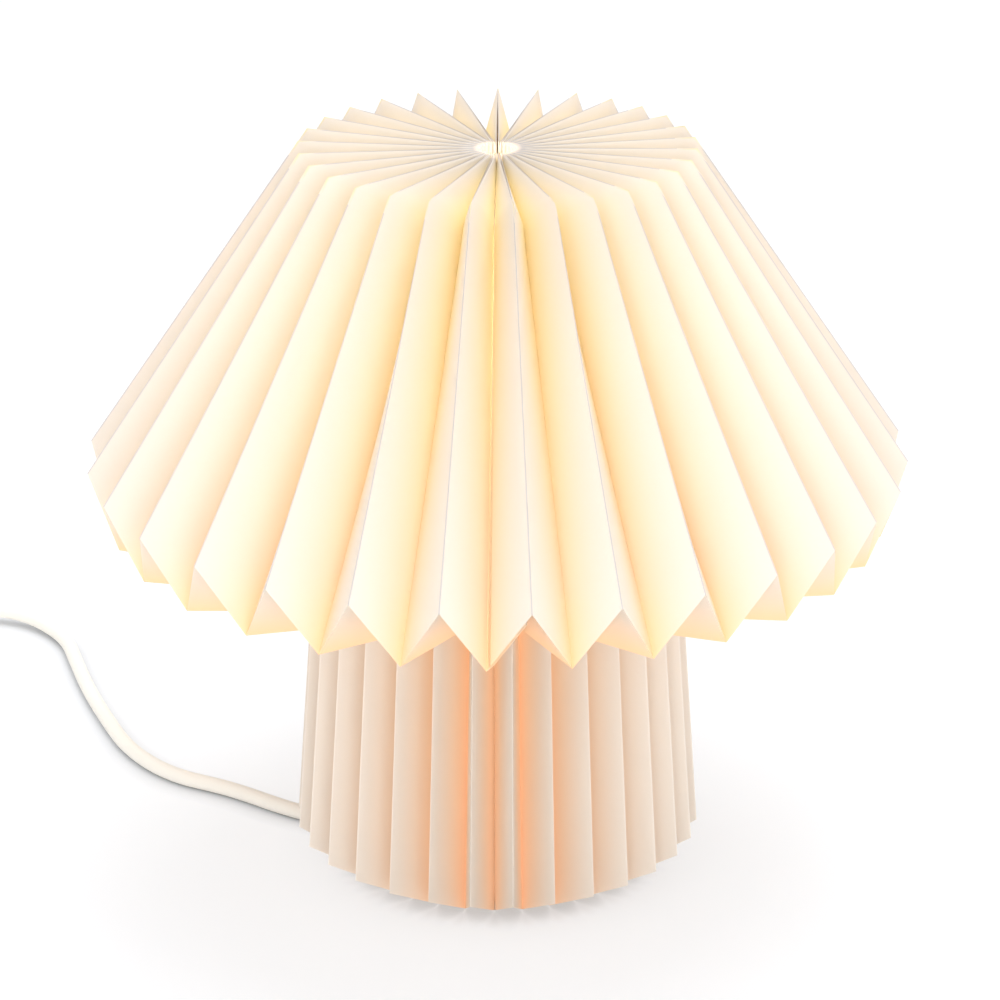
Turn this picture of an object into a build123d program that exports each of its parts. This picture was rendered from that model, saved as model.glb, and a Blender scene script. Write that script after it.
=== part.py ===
from build123d import *
import math
import os

import numpy as np

# Pleated paper table lamp. Millimetres, +Z up, the front of the lamp looks along -Y.
# The origin is the middle of the lamp on the surface that it stands on.
# A place on the lamp is given by an azimuth, counted in degrees from the front towards +X.

# ---------------------------------------------------------------- driving dimensions
# pleated paper
PLEATS = 30
PANEL_WIDTH = 26.0  # of one panel, from an outer fold to the next inner fold
PAPER = 0.3  # thickness of the sheet
FOLD_PHASE = -3.9  # azimuth of the first inner fold
FOLD_DRIFT = 2.7  # the pleats are gathered closer on one side, by up to this many degrees
FOLD_DRIFT_PHASE = 120.0
RIM_RADIUS = 150.0  # outer folds at the widest place of the cap
RIM_HEIGHT = 165.0
TOP_RADIUS = 71.0  # outer folds where the cone of the cap ends
TOP_HEIGHT = 281.0
HOLE_RADIUS = 11.0  # ends of the folds round the top opening
RIDGE_SHARE = 0.55  # of half a pleat, between the outer fold and the ridge beside it, at the hole
HOLE_DISH = 1.5  # the ridges end this much under the outer folds
VALLEY_DIP = 4.0  # depth of the inner folds at the hole, under the ridges
SUNK_DEPTH = 19.0  # depth of the outer folds at the hole, under the ridges
UNDER_SLOPE = 14.0  # degrees that the underside of the cap falls towards the column
WAIST_RADIUS = 66.6  # outer folds where the column begins
FOOT_RADIUS = 76.2  # outer folds at the foot of the column
HEM_SLOPE = 33.5  # degrees that the turned-in hem rises towards the middle
HEM_LENGTH = 19.5  # of the hem along its outer folds
PAPER_FOOT_LIFT = 0.8  # inner folds at the foot, above the floor at the middle of the sheet
SEAM_SETBACK = 2.0  # a sheet begins this far from the fold beside it
FLAP_SETBACK = 4.5  # the glue flap under it ends this far from the next fold
SHARP_FOLD_LIMIT = 0.004  # keeps the corners of the sharpest folds from growing long points
SEAM_GLUE = 0.8  # between the two layers of a glued seam, which is not pressed flat

# base unit
PAD_RADIUS = 34.0
PAD_BORE = 9.0
PAD_THICKNESS = 1.5
COVER_RADIUS = 43.3
COVER_HEIGHT = 18.0
COVER_WALL = 1.0
COVER_EDGE = 4.0  # rounding of its upper edge
WEIGHT_THICKNESS = 8.0
STEM_RADIUS = 5.0
STEM_BORE = 4.0
THREAD_CLEARANCE = 0.05
NUT_FLATS = 14.0
NUT_HEIGHT = 3.5
WASHER_RADIUS = 11.0
WASHER_THICKNESS = 1.2
STEM_END = 0.5  # of thread that shows past the lowest nut
PART_CLEARANCE = 0.4  # between pieces that go together loosely

# wire carrier under the waist of the paper
WIRE_RADIUS = 1.2
CARRIER_HEIGHT = 106.0
CARRIER_ARMS = 3
CARRIER_HUB_RADIUS = 11.0
CARRIER_HUB_THICKNESS = 1.6
HOOP_RADIUS = 40.9

# lampholder, for a bulb cap of 14 mm
HOLDER_LIFT = 8.7  # of the lampholder above the carrier's upper nut
HOLDER_RADIUS = 14.2
HOLDER_WALL = 1.5
HOLDER_NECK_RADIUS = 8.0
HOLDER_NECK = 9.0
HOLDER_DOME = 7.0
HOLDER_CAP_RIM = 7.0
HOLDER_SKIRT = 38.0
INSULATOR_HEIGHT = 12.0
INSULATOR_RADIUS = 11.8
TERMINAL_RADIUS = 1.75
TERMINAL_HEAD = 1.5
TERMINAL_PLACE = 9.6
CONTACT_WALL = 0.5
CONTACT_HEIGHT = 20.0
CONTACT_CLEARANCE = 0.15
SPRING_WIDTH = 4.0
SPRING_RISE = 2.6
SPRING_STRIP = 0.5

# bulb
BULB_CAP_RADIUS = 6.95
BULB_CAP_LENGTH = 18.0
THREAD_DEPTH = 0.7
THREAD_PITCH = 2.82
THREAD_TURNS = 5
TIP_RADIUS = 2.4
TIP_HEIGHT = 1.6
TIP_INSULATOR_HEIGHT = 2.2
TIP_INSULATOR_RADIUS = 5.6
COLLAR_RADIUS = 17.0
COLLAR_LENGTH = 22.0
GLOBE_RADIUS = 22.5
GLOBE_WALL = 0.9

# lead
CORD_RADIUS = 3.0
FLOOR_CLEARANCE = 0.05
RELIEF_LENGTH = 22.0  # of its taper outside the base
RELIEF_ROOT_RADIUS = 3.8
RELIEF_TIP_RADIUS = 3.3
RELIEF_FLANGE_RADIUS = 4.4
RELIEF_FLANGE = 3.0
RELIEF_HEIGHT = 4.9  # of its axis at the wall of the base
RELIEF_FALL = 3.5  # degrees
RELIEF_RUN = 8.0  # of the lead straight on from the strain relief
LEAD_RADIUS = 1.8  # inner lead in the base and the stem
LEAD_HEIGHT = 3.4
LEAD_BEND = 4.0
EXIT_FOLD = -17  # the lead passes under this outer fold
BEND_SHARE = 0.45  # of the shorter run beside a corner that its arc takes up

# in-line switch
SWITCH_LENGTH = 62.0
SWITCH_WIDTH = 26.0
SWITCH_HEIGHT = 19.0
SWITCH_SPLIT = 9.0
SWITCH_WALL = 1.8
SWITCH_END_ROUND = 8.0
SWITCH_EDGE = 2.0
ENTRY_HEIGHT = 6.5
ROCKER_LENGTH = 17.0
ROCKER_WIDTH = 10.0
ROCKER_GAP = 0.4
ROCKER_RISE = 2.2
ROCKER_DEPTH_SHARE = 1.2  # of its crown's radius that the rocker is deep
SWITCH_SCREW_RADIUS = 1.5
SWITCH_SCREW_HEAD = 2.7
SWITCH_SCREW_PLACE = 22.0
INLET_RUN = 28.0  # of the lead in line with the switch, before it
INLET_FALL = 1.5  # over that run

# plug
PLUG_LENGTH = 36.0
PLUG_WIDTH = 35.0
PLUG_NECK_WIDTH = 15.0
PLUG_HEIGHT = 13.8
PLUG_EDGE = 2.5
PIN_RADIUS = 2.0
PIN_LENGTH = 19.0
PIN_SPACING = 18.6
PIN_ROOT = 6.0  # of each pin inside the plug
PIN_ROOT_RADIUS = 2.8  # there it is thicker, so that it can't be pulled out
PLUG_TAPER = 0.4  # how far its sides lean out at the cord, for each unit along the plug

# coil of the length that is put away
COIL_TURNS = 6  # three in the lower layer and three in the upper one
COIL_OUTER = 45.0
COIL_STEP = 6.6  # from one turn to the next, and from one layer to the next
COIL_KNOTS = 4  # joints of the arcs in each turn
TIE_WIDTH = 7.0
TIE_THICKNESS = 0.8
TIE_CLEARANCE = 0.4
GAP_SAMPLES = 40  # points a turn at which the least gap between the turns is measured

# lead on the floor: the corners of its route, chosen by hand
ROUTE_TO_SWITCH = [
    (-84.0, 26.5),
    (-106.0, 43.0),
    (-130.0, 54.0),
    (-149.0, 77.0),
    (-161.0, 106.0),
    (-171.0, 133.0),
    (-179.0, 160.0),
    (-186.5, 187.0),
]
SWITCH_MIDDLE = (-267.5, 209.0)
COIL_MIDDLE = (-296.0, 134.0)
PLUG_REAR_Y = 84.0

# ---------------------------------------------------------------- values that follow
HALF_PLEAT = 180.0 / PLEATS
FOLDS = 2 * PLEATS
CORD_HEIGHT = CORD_RADIUS + FLOOR_CLEARANCE
COIL_HEIGHT = CORD_HEIGHT + TIE_THICKNESS  # the coil lies on its tie
COVER_TOP = PAD_THICKNESS + COVER_HEIGHT
WEIGHT_TOP = COVER_TOP - COVER_WALL
WEIGHT_BOTTOM = WEIGHT_TOP - WEIGHT_THICKNESS
CARRIER_HUB_TOP = CARRIER_HEIGHT + CARRIER_HUB_THICKNESS / 2
HOLDER_BOTTOM = CARRIER_HUB_TOP + NUT_HEIGHT + HOLDER_LIFT
STEM_TOP = HOLDER_BOTTOM + HOLDER_NECK
HOLDER_SEAT = STEM_TOP + HOLDER_DOME
INSULATOR_TOP = HOLDER_SEAT + INSULATOR_HEIGHT
TIP_BOTTOM = INSULATOR_TOP + SPRING_RISE
BULB_CAP_BOTTOM = TIP_BOTTOM + TIP_HEIGHT + TIP_INSULATOR_HEIGHT
BULB_CAP_TOP = BULB_CAP_BOTTOM + BULB_CAP_LENGTH
COLLAR_TOP = BULB_CAP_TOP + COLLAR_LENGTH
CONTACT_RADIUS = BULB_CAP_RADIUS + CONTACT_CLEARANCE

PIECES = {}


def keep(name, shape):
    """Keep a finished piece under the name of its node."""
    PIECES[name] = shape


def on_azimuth(azimuth, radius, height):
    """Point at an azimuth, a radius and a height."""
    angle = math.radians(azimuth)
    return Vector(radius * math.sin(angle), -radius * math.cos(angle), height)


def turned(outline):
    """Solid of revolution about +Z of a closed outline of (radius, height) points."""
    wire = Wire([Line(a, b) for a, b in zip(outline, outline[1:] + outline[:1])])
    return revolve(Plane.XZ * Face(wire), Axis.Z)


def ring(outer, inner, bottom, top):
    """Plain ring about +Z."""
    height = top - bottom
    body = Cylinder(outer, height) - Cylinder(inner, 2 * height)
    return Pos(0, 0, bottom + height / 2) * body


def disc(radius, bottom, top):
    """Plain disc about +Z."""
    return Pos(0, 0, (bottom + top) / 2) * Cylinder(radius, top - bottom)


# ---------------------------------------------------------------- pleated paper
# Each sheet is one piece of paper from the top hole to the hem. Where its outer folds turn a
# corner, at the rim, the waist and the foot, the pleats are reverse-folded: the crease between
# an outer and an inner fold lies in the plane that mirrors one stretch of the folds to the next.
def fold_azimuth(fold):
    """Azimuth of a fold: even numbers are inner folds and odd ones are outer folds."""
    even = FOLD_PHASE + HALF_PLEAT * fold
    return even + FOLD_DRIFT * math.sin(math.radians(even + FOLD_DRIFT_PHASE))


def direction(a, b):
    """Unit vector from a to b in the (radius, height) plane."""
    return (np.array(b) - np.array(a)) / math.dist(a, b)


def inner_corner(corner, arriving, leaving, side):
    """Corner of an inner fold beside a corner of the outer folds, as (radius, height).

    arriving and leaving are the directions of the outer fold there, and side is 1 where the
    inner folds lie clockwise of the arriving stretch, or -1.
    """
    across = side * np.array([arriving[1], -arriving[0]])
    bend = arriving - leaving
    crease = np.array([-bend[1], bend[0]]) if math.hypot(*bend) > 0 else across
    crease = crease / math.hypot(*crease)
    crease = crease * math.copysign(1, crease @ across)
    spread = math.tan(math.radians(HALF_PLEAT))
    point = np.array(corner, dtype=float)
    for _ in range(8):
        depth = math.sqrt(PANEL_WIDTH**2 - (point[0] * spread) ** 2)
        point = np.array(corner) + crease * depth / (crease @ across)
    return point[0] / math.cos(math.radians(HALF_PLEAT)), point[1]


def fold_profiles():
    """Corners of the outer and of the inner folds, by name, as (radius, height)."""
    under = math.radians(UNDER_SLOPE)
    rise = math.radians(HEM_SLOPE)
    leave_rim = np.array([-math.cos(under), -math.sin(under)])
    leave_foot = np.array([-math.cos(rise), math.sin(rise)])
    top, rim = (TOP_RADIUS, TOP_HEIGHT), (RIM_RADIUS, RIM_HEIGHT)
    waist = (WAIST_RADIUS, RIM_HEIGHT - (RIM_RADIUS - WAIST_RADIUS) * math.tan(under))
    foot_height = 0.0
    for _ in range(4):
        foot = (FOOT_RADIUS, foot_height)
        low = inner_corner(foot, direction(waist, foot), leave_foot, 1)
        foot_height += PAPER_FOOT_LIFT - low[1]
    hem = tuple(np.array(foot) + leave_foot * HEM_LENGTH)
    cone = direction(top, rim)
    column = direction(waist, foot)
    inner_foot = inner_corner(foot, column, leave_foot, 1)
    crossed = (np.array(inner_foot) - np.array(foot)) @ column
    hole_top = TOP_HEIGHT - HOLE_DISH
    outer = {
        "hole": (HOLE_RADIUS, hole_top - SUNK_DEPTH),
        "top": top,
        "rim": rim,
        "waist": waist,
        "foot": foot,
        "hem": hem,
        "ridge": (HOLE_RADIUS, hole_top),
    }
    inner = {
        "hole": (HOLE_RADIUS, hole_top - VALLEY_DIP),
        "top": inner_corner(top, cone, cone, 1),
        "rim": inner_corner(rim, cone, leave_rim, 1),
        "waist": inner_corner(waist, leave_rim, column, -1),
        "foot": inner_foot,
        "hem": tuple(np.array(inner_foot) + leave_foot * (HEM_LENGTH - crossed)),
    }
    return outer, inner


OUTER_FOLDS, INNER_FOLDS = fold_profiles()
LEVELS = ["hole", "top", "rim", "waist", "foot", "hem"]


def fold_points(fold):
    """Corners of one fold, by name."""
    corners = OUTER_FOLDS if fold % 2 else INNER_FOLDS
    return {name: np.array(tuple(on_azimuth(fold_azimuth(fold), *corners[name]))) for name in LEVELS}


def ridge_point(panel):
    """Upper end of the ridge that runs over a panel from its outer fold's top corner."""
    outer, inner = (panel, panel + 1) if panel % 2 else (panel + 1, panel)
    share = (1 - RIDGE_SHARE) * fold_azimuth(outer) + RIDGE_SHARE * fold_azimuth(inner)
    return np.array(tuple(on_azimuth(share, *OUTER_FOLDS["ridge"])))


def panel_facets(panel, flap=False):
    """Flat facets of the panel between two folds, as corners that turn left seen from outside.

    A glue flap ends at the top of the cone, narrows towards the foot and has no hem.
    """
    a, b = panel, panel + 1
    inner, outer = (b, a) if panel % 2 else (a, b)
    roof = [
        [(inner, "top"), (outer, "top"), (inner, "hole")],
        [(outer, "top"), (panel, "ridge"), (inner, "hole")],
        [(outer, "top"), (outer, "hole"), (panel, "ridge")],
    ]
    if panel % 2:
        roof = [facet[::-1] for facet in roof]
    walls = []
    for upper, lower in zip(LEVELS[1:], LEVELS[2:]):
        walls.append([(a, lower), (b, upper), (a, upper)])
        walls.append([(a, lower), (b, lower), (b, upper)])
    return walls[:-3] if flap else roof + walls


def cut_back(facets, ends, setback, corners):
    """What is left of facets where the sheet ends a little way in from the corners in ends."""
    share = setback / PANEL_WIDTH
    parts = []
    for facet in facets:
        kept = []
        for here, there in zip(facet, facet[1:] + facet[:1]):
            if here not in ends:
                kept.append(here)
            if (here in ends) != (there in ends):
                near, far = (here, there) if here in ends else (there, here)
                corners[(near, far)] = corners[near] * (1 - share) + corners[far] * share
                kept.append((near, far))
        parts += [[kept[0], *pair] for pair in zip(kept[1:], kept[2:])]
    return parts


def paper_sheet(first, last):
    """One sheet: its panels from fold first to fold last, and a glue flap past the last fold."""
    panels = range(first, last + 1)
    corners = {}
    for fold in range(first, last + 2):
        corners.update({(fold, name): point for name, point in fold_points(fold).items()})
    corners.update({(panel, "ridge"): ridge_point(panel) for panel in panels})
    facets, layers = [], []
    for panel in panels:
        pieces = panel_facets(panel, flap=panel == last)
        if panel == first:
            ends = [(first, name) for name in LEVELS]
            pieces = cut_back(pieces, ends, SEAM_SETBACK, corners)
        if panel == last:
            ends = [(last + 1, name) for name in LEVELS]
            pieces = cut_back(pieces, ends, FLAP_SETBACK, corners)
        facets += pieces
        layers += [-(PAPER + SEAM_GLUE) if panel == last else 0.0] * len(pieces)
    meeting = {}
    for facet, offset in zip(facets, layers):
        p, q, r = (corners[corner] for corner in facet)
        normal = np.cross(q - p, r - p)
        for corner in facet:
            meeting.setdefault(corner, []).append((normal / np.linalg.norm(normal), offset))

    def shifted(corner, half):
        """The corner on the outer or inner face of the sheet, half a thickness from its middle."""
        normals = np.array([normal for normal, _ in meeting[corner]])
        aims = np.array([offset + half for _, offset in meeting[corner]])
        steady = SHARP_FOLD_LIMIT * np.eye(3)
        move = np.linalg.solve(normals.T @ normals + steady, normals.T @ aims)
        return Vector(*(corners[corner] + move))

    outside = {corner: shifted(corner, PAPER / 2) for corner in meeting}
    inside = {corner: shifted(corner, -PAPER / 2) for corner in meeting}
    triangles = [[outside[c] for c in facet] for facet in facets]
    triangles += [[inside[c] for c in facet[::-1]] for facet in facets]
    edges = {pair: None for f in facets for pair in zip(f, f[1:] + f[:1])}
    for a, b in [edge for edge in edges if edge[::-1] not in edges]:
        triangles.append([outside[b], outside[a], inside[a]])
        triangles.append([outside[b], inside[a], inside[b]])
    faces = [Face(Wire.make_polygon(triangle, close=True)) for triangle in triangles]
    return Solid(Shell(faces))


def paper_body():
    """The two sheets, glued over one panel at the front and one at the back."""
    keep("paper_right", paper_sheet(0, PLEATS))
    keep("paper_left", paper_sheet(PLEATS, FOLDS))


# ---------------------------------------------------------------- base unit
EXIT_AZIMUTH = fold_azimuth(EXIT_FOLD)


def along_exit(radius, height):
    """Point on the line on which the lead leaves the base."""
    return on_azimuth(EXIT_AZIMUTH, radius, height)


def hex_nut(bottom):
    """Thin hexagonal nut on the stem."""
    blank = extrude(RegularPolygon(NUT_FLATS / 2, 6, major_radius=False), NUT_HEIGHT)
    return Pos(0, 0, bottom) * (blank - Cylinder(STEM_RADIUS + THREAD_CLEARANCE, 3 * NUT_HEIGHT))


def relief_axis():
    """Place where the strain relief crosses the wall of the base, and its outward direction."""
    place = along_exit(COVER_RADIUS, RELIEF_HEIGHT)
    fall = math.radians(RELIEF_FALL)
    return place, along_exit(math.cos(fall), -math.sin(fall))


def along_relief(distance):
    """Point on the axis of the strain relief, from the outside of the base's wall."""
    place, outward = relief_axis()
    return place + outward * distance


def relief_cone(root, tip, start, end):
    """Tapered piece on the axis of the strain relief."""
    outward = relief_axis()[1]
    sections = [
        Plane(origin=along_relief(start), z_dir=outward) * Circle(root),
        Plane(origin=along_relief(end), z_dir=outward) * Circle(tip),
    ]
    return loft(sections, ruled=True)


def base_unit():
    """Foam pad, pressed cover, weight, stem and the fasteners on the stem."""
    keep("base_pad", ring(PAD_RADIUS, PAD_BORE, 0, PAD_THICKNESS))
    stem_hole = STEM_RADIUS + PART_CLEARANCE
    shell = ring(COVER_RADIUS, stem_hole, PAD_THICKNESS, COVER_TOP)
    top_edges = shell.edges().filter_by(GeomType.CIRCLE).group_by(Axis.Z)[-1]
    shell = fillet(top_edges.sort_by(SortBy.LENGTH)[-1], COVER_EDGE)
    inner = Pos(0, 0, WEIGHT_TOP / 2) * Cylinder(COVER_RADIUS - COVER_WALL, WEIGHT_TOP)
    inner = fillet(inner.edges().group_by(Axis.Z)[-1], COVER_EDGE - COVER_WALL)
    mouth_radius = RELIEF_ROOT_RADIUS + PART_CLEARANCE / 2
    mouth = relief_cone(mouth_radius, mouth_radius, -3 * COVER_WALL, 2 * COVER_WALL)
    keep("base_cover", shell - inner - mouth)
    weight = ring(COVER_RADIUS - COVER_WALL - PART_CLEARANCE, stem_hole, WEIGHT_BOTTOM, WEIGHT_TOP)
    outer_edges = weight.edges().group_by(SortBy.LENGTH)[-1]
    keep("base_weight", fillet(outer_edges, COVER_EDGE - COVER_WALL))
    washer_bottom = WEIGHT_BOTTOM - WASHER_THICKNESS
    washer_bore = STEM_RADIUS + THREAD_CLEARANCE
    keep("stem_washer", ring(WASHER_RADIUS, washer_bore, washer_bottom, WEIGHT_BOTTOM))
    stem_bottom = washer_bottom - NUT_HEIGHT - STEM_END
    keep("stem_tube", ring(STEM_RADIUS, STEM_BORE, stem_bottom, STEM_TOP))
    heights = [washer_bottom - NUT_HEIGHT, COVER_TOP]
    heights += [CARRIER_HUB_TOP - CARRIER_HUB_THICKNESS - NUT_HEIGHT, CARRIER_HUB_TOP]
    keep("stem_nuts", Compound([hex_nut(height) for height in heights]))


def waist_carrier():
    """Hub, arms and hoop of steel wire, welded together."""
    half = CARRIER_HUB_THICKNESS / 2
    bore = STEM_RADIUS + THREAD_CLEARANCE
    frame = ring(CARRIER_HUB_RADIUS, bore, CARRIER_HEIGHT - half, CARRIER_HUB_TOP)
    frame += Pos(0, 0, CARRIER_HEIGHT) * Torus(HOOP_RADIUS, WIRE_RADIUS)
    for arm in range(CARRIER_ARMS):
        azimuth = 360 / CARRIER_ARMS * arm
        inward = on_azimuth(azimuth, CARRIER_HUB_RADIUS - WIRE_RADIUS, CARRIER_HEIGHT)
        outward = on_azimuth(azimuth, HOOP_RADIUS, CARRIER_HEIGHT)
        run = outward - inward
        frame += extrude(Plane(origin=inward, z_dir=run) * Circle(WIRE_RADIUS), run.length)
    bore_again = Pos(0, 0, CARRIER_HEIGHT) * Cylinder(bore, 4 * CARRIER_HUB_THICKNESS)
    keep("waist_carrier", frame - bore_again)


# ---------------------------------------------------------------- lampholder and bulb
def lampholder():
    """Cap on the stem, skirt, insulator, the two contacts and their screws."""
    inner = HOLDER_RADIUS - HOLDER_WALL
    bore = STEM_RADIUS + THREAD_CLEARANCE
    neck_wall = HOLDER_NECK_RADIUS - HOLDER_WALL
    rim = HOLDER_SEAT + HOLDER_CAP_RIM
    cap = [
        (bore, HOLDER_BOTTOM),
        (HOLDER_NECK_RADIUS, HOLDER_BOTTOM),
        (HOLDER_NECK_RADIUS, STEM_TOP - HOLDER_WALL),
        (HOLDER_RADIUS, HOLDER_SEAT - HOLDER_WALL),
        (HOLDER_RADIUS, rim),
        (inner, rim),
        (inner, HOLDER_SEAT),
        (neck_wall, STEM_TOP),
        (bore, STEM_TOP),
    ]
    keep("holder_cap", turned(cap))
    keep("holder_skirt", ring(HOLDER_RADIUS, inner, rim, rim + HOLDER_SKIRT))
    body = ring(INSULATOR_RADIUS, LEAD_RADIUS + PART_CLEARANCE, HOLDER_SEAT, INSULATOR_TOP)
    flange_radius = inner - PART_CLEARANCE / 2
    flange_root = INSULATOR_RADIUS - HOLDER_WALL
    flange = ring(flange_radius, flange_root, HOLDER_SEAT, HOLDER_SEAT + HOLDER_WALL)
    places = [Pos(TERMINAL_PLACE * side, 0, HOLDER_SEAT) for side in (-1, 1)]
    holes = [place * Cylinder(TERMINAL_RADIUS, 2 * INSULATOR_HEIGHT) for place in places]
    keep("holder_insulator", (body + flange) - holes)
    shank = INSULATOR_HEIGHT + TERMINAL_HEAD
    screw = Pos(0, 0, shank / 2) * Cylinder(TERMINAL_RADIUS - THREAD_CLEARANCE, shank)
    keep("holder_terminal_screws", Compound([place * screw for place in places]))
    contact_top = INSULATOR_TOP + CONTACT_HEIGHT
    shell = ring(CONTACT_RADIUS + CONTACT_WALL, CONTACT_RADIUS, INSULATOR_TOP, contact_top)
    keep("holder_screw_contact", shell)
    strip = Box(SPRING_WIDTH + SPRING_STRIP, SPRING_WIDTH, SPRING_STRIP)
    post = Box(SPRING_STRIP, SPRING_WIDTH, SPRING_RISE)
    spring = Pos(SPRING_STRIP / 2, 0, TIP_BOTTOM - SPRING_STRIP / 2) * strip
    spring += Pos((SPRING_WIDTH + SPRING_STRIP) / 2, 0, TIP_BOTTOM - SPRING_RISE / 2) * post
    keep("holder_centre_contact", spring)


def bulb():
    """Contact tip, insulator, ribbed screw cap, collar and opal globe."""
    insulator_bottom = TIP_BOTTOM + TIP_HEIGHT
    keep("bulb_tip", disc(TIP_RADIUS, TIP_BOTTOM, insulator_bottom))
    insulator = [
        (0, insulator_bottom),
        (TIP_RADIUS, insulator_bottom),
        (TIP_INSULATOR_RADIUS, BULB_CAP_BOTTOM),
        (0, BULB_CAP_BOTTOM),
    ]
    keep("bulb_insulator", turned(insulator))
    root = BULB_CAP_RADIUS - THREAD_DEPTH
    outline = [(0, BULB_CAP_BOTTOM), (root, BULB_CAP_BOTTOM)]
    for turn in range(THREAD_TURNS):
        start = BULB_CAP_BOTTOM + THREAD_PITCH * (turn + 0.5)
        outline += [(root, start), (BULB_CAP_RADIUS, start + THREAD_PITCH / 2)]
    outline += [(root, start + THREAD_PITCH), (BULB_CAP_RADIUS, BULB_CAP_TOP)]
    outline.append((0, BULB_CAP_TOP))
    keep("bulb_cap", turned(outline))
    globe_middle = COLLAR_TOP + math.sqrt(GLOBE_RADIUS**2 - COLLAR_RADIUS**2)
    with BuildSketch(Plane.XZ) as side:
        with BuildLine():
            Line((0, BULB_CAP_TOP), (BULB_CAP_RADIUS, BULB_CAP_TOP))
            curve = Spline(
                (BULB_CAP_RADIUS, BULB_CAP_TOP),
                (COLLAR_RADIUS, COLLAR_TOP),
                tangents=[(0.3, 1), (0.45, 1)],
            )
            Line(curve @ 1, (0, COLLAR_TOP))
            Line((0, COLLAR_TOP), (0, BULB_CAP_TOP))
        make_face()
    keep("bulb_collar", revolve(side.sketch, Axis.Z))
    globe = Pos(0, 0, globe_middle) * (Sphere(GLOBE_RADIUS) - Sphere(GLOBE_RADIUS - GLOBE_WALL))
    cube = Box(4 * GLOBE_RADIUS, 4 * GLOBE_RADIUS, 2 * GLOBE_RADIUS)
    keep("bulb_envelope", globe - Pos(0, 0, COLLAR_TOP - GLOBE_RADIUS) * cube)


# ---------------------------------------------------------------- lead
def bend_radii(corners):
    """Radius of the arc at each inner corner of a route."""
    radii = []
    for before, corner, after in zip(corners, corners[1:], corners[2:]):
        turn = math.radians((corner - before).get_angle(after - corner))
        shorter = min((corner - before).length, (after - corner).length)
        radii.append(BEND_SHARE * shorter / math.tan(turn / 2))
    return radii


def cord_tube(name, corners, radius=CORD_RADIUS, radii=None):
    """Tube along straight runs that tangent arcs join."""
    radii = radii or bend_radii(corners)
    path = FilletPolyline(*corners, radius=radii)
    start = Plane(origin=path @ 0, z_dir=path % 0)
    tube = sweep(start * Circle(radius), path=path)
    print(name, "radii", [round(r, 1) for r in radii], "length", round(path.length, 1), end=" ")
    print("volume share", round(tube.volume / (math.pi * radius**2 * path.length), 4))
    keep(name, tube)
    return path.length


def coil_place(turn):
    """Point of the coil's line after a number of turns, and its direction of travel."""
    half = COIL_TURNS / 2
    inward = COIL_STEP * (half - abs(turn - half))
    radius = COIL_OUTER - inward
    climb = min(max((turn - half) * 2 + 0.5, 0), 1)
    height = COIL_HEIGHT + COIL_STEP * climb
    angle = math.pi + 2 * math.pi * turn
    x, y = COIL_MIDDLE
    place = Vector(x + radius * math.cos(angle), y + radius * math.sin(angle), height)
    steady = -COIL_STEP if turn < half - 0.01 else COIL_STEP if turn > half + 0.01 else 0
    rising = 2 * COIL_STEP if abs(turn - half) < 0.01 else 0
    around = 2 * math.pi * radius
    travel = Vector(
        steady * math.cos(angle) - around * math.sin(angle),
        steady * math.sin(angle) + around * math.cos(angle),
        rising,
    )
    return place, travel.normalized()


def biarc(start, leaving, end, arriving):
    """Two arcs that join two points with the direction given at each of them."""
    span = end - start
    both = leaving + arriving
    a = 2 * (1 - leaving.dot(arriving))
    b = 2 * span.dot(both)
    reach = (-b + math.sqrt(b * b + 4 * a * span.dot(span))) / (2 * a)
    middle = (start + end + (leaving - arriving) * reach) * 0.5
    first = TangentArc(start, middle, tangent=leaving)
    return [first, TangentArc(middle, end, tangent=first % 1)]


def cord_coil():
    """The put-away length: two layers of turns, wound in below and out above."""
    knots = [index / COIL_KNOTS for index in range(COIL_TURNS * COIL_KNOTS + 1)]
    places = [coil_place(knot) for knot in knots]
    first, last = places[0], places[-1]
    ahead = Vector(0, -1, 0)
    entry = first[0] - ahead * 2 * CORD_RADIUS
    outlet = last[0] + ahead * 2 * CORD_RADIUS
    places[0], places[-1] = (first[0], ahead), (last[0], ahead)
    edges = [Line(entry, first[0])]
    for (start, leaving), (end, arriving) in zip(places, places[1:]):
        edges += biarc(start, leaving, end, arriving)
    edges.append(Line(last[0], outlet))
    path = Wire(edges)
    tube = sweep(Plane(origin=entry, z_dir=ahead) * Circle(CORD_RADIUS), path=path)
    print("cord_coil length", round(path.length, 1), "turns", COIL_TURNS, end=" ")
    print("volume share", round(tube.volume / (math.pi * CORD_RADIUS**2 * path.length), 4), end=" ")
    steps = GAP_SAMPLES * COIL_TURNS
    line = [path @ (index / steps) for index in range(steps + 1)]
    later = GAP_SAMPLES // 2
    gap = min((p - q).length for index, p in enumerate(line) for q in line[index + later :])
    print("least gap", round(gap - 2 * CORD_RADIUS, 2))
    keep("cord_coil", tube)
    return entry, outlet, path.length


def coil_tie():
    """Flat band round all the turns at the side of the coil that faces away from the lead."""
    inner_radius = COIL_OUTER - COIL_STEP * COIL_TURNS / 2 - CORD_RADIUS - TIE_CLEARANCE
    outer_radius = COIL_OUTER + CORD_RADIUS + TIE_CLEARANCE
    low = FLOOR_CLEARANCE + TIE_THICKNESS
    high = COIL_HEIGHT + COIL_STEP + CORD_RADIUS + TIE_CLEARANCE
    x, y = COIL_MIDDLE
    middle = Pos(x + (inner_radius + outer_radius) / 2, y, (low + high) / 2)
    width, height = outer_radius - inner_radius, high - low
    band = Box(width + 2 * TIE_THICKNESS, TIE_WIDTH, height + 2 * TIE_THICKNESS)
    keep("coil_tie", middle * (band - Box(width, 2 * TIE_WIDTH, height)))


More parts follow.
